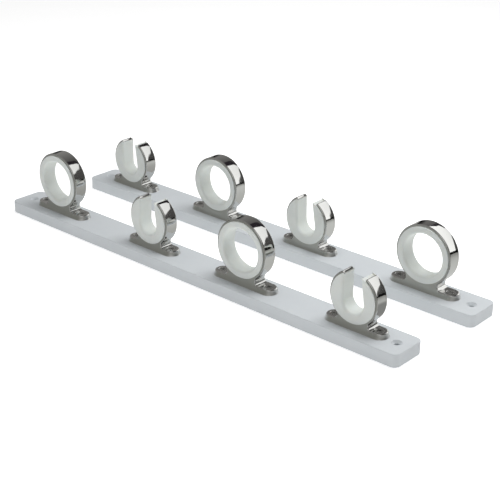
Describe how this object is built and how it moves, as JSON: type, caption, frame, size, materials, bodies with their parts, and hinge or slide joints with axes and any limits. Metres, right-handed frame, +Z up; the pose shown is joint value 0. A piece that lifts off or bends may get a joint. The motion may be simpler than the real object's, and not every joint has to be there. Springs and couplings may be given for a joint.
{
  "type": "rod holder",
  "caption": "Horizontal fishing rod racks: closed rings and open clips of polished metal with plastic liners, screwed to flat boards.",
  "frame": {"origin": "centre of the pair's footprint, on the boards' underside", "axes": "+X along the boards, +Y from the front rack to the rear rack, +Z up out of the boards"},
  "size_m": [0.516, 0.144, 0.0776],
  "materials": {
    "board": "matt, pale cool grey",
    "casting": "mirror-polished stainless steel",
    "liner": "satin, milky white",
    "screw": "bright stainless steel"
  },
  "bodies": {
    "front_rack": {"front_board": "board", "front_left_ring_bracket": "casting", "front_left_ring_liner": "liner", "front_left_ring_screws": "screw", "front_left_clip_bracket": "casting", "front_left_clip_liner": "liner", "front_left_clip_screws": "screw", "front_right_ring_bracket": "casting", "front_right_ring_liner": "liner", "front_right_ring_screws": "screw", "front_right_clip_bracket": "casting", "front_right_clip_liner": "liner", "front_right_clip_screws": "screw"},
    "rear_rack": {"rear_board": "board", "rear_right_ring_bracket": "casting", "rear_right_ring_liner": "liner", "rear_right_ring_screws": "screw", "rear_right_clip_bracket": "casting", "rear_right_clip_liner": "liner", "rear_right_clip_screws": "screw", "rear_left_ring_bracket": "casting", "rear_left_ring_liner": "liner", "rear_left_ring_screws": "screw", "rear_left_clip_bracket": "casting", "rear_left_clip_liner": "liner", "rear_left_clip_screws": "screw"}
  },
  "joints": [
    {"name": "rear_rack_spacing", "type": "slide", "parent": "front_rack", "child": "rear_rack", "axis": [0, 1, 0], "range_m": [0, 0.9]}
  ]
}
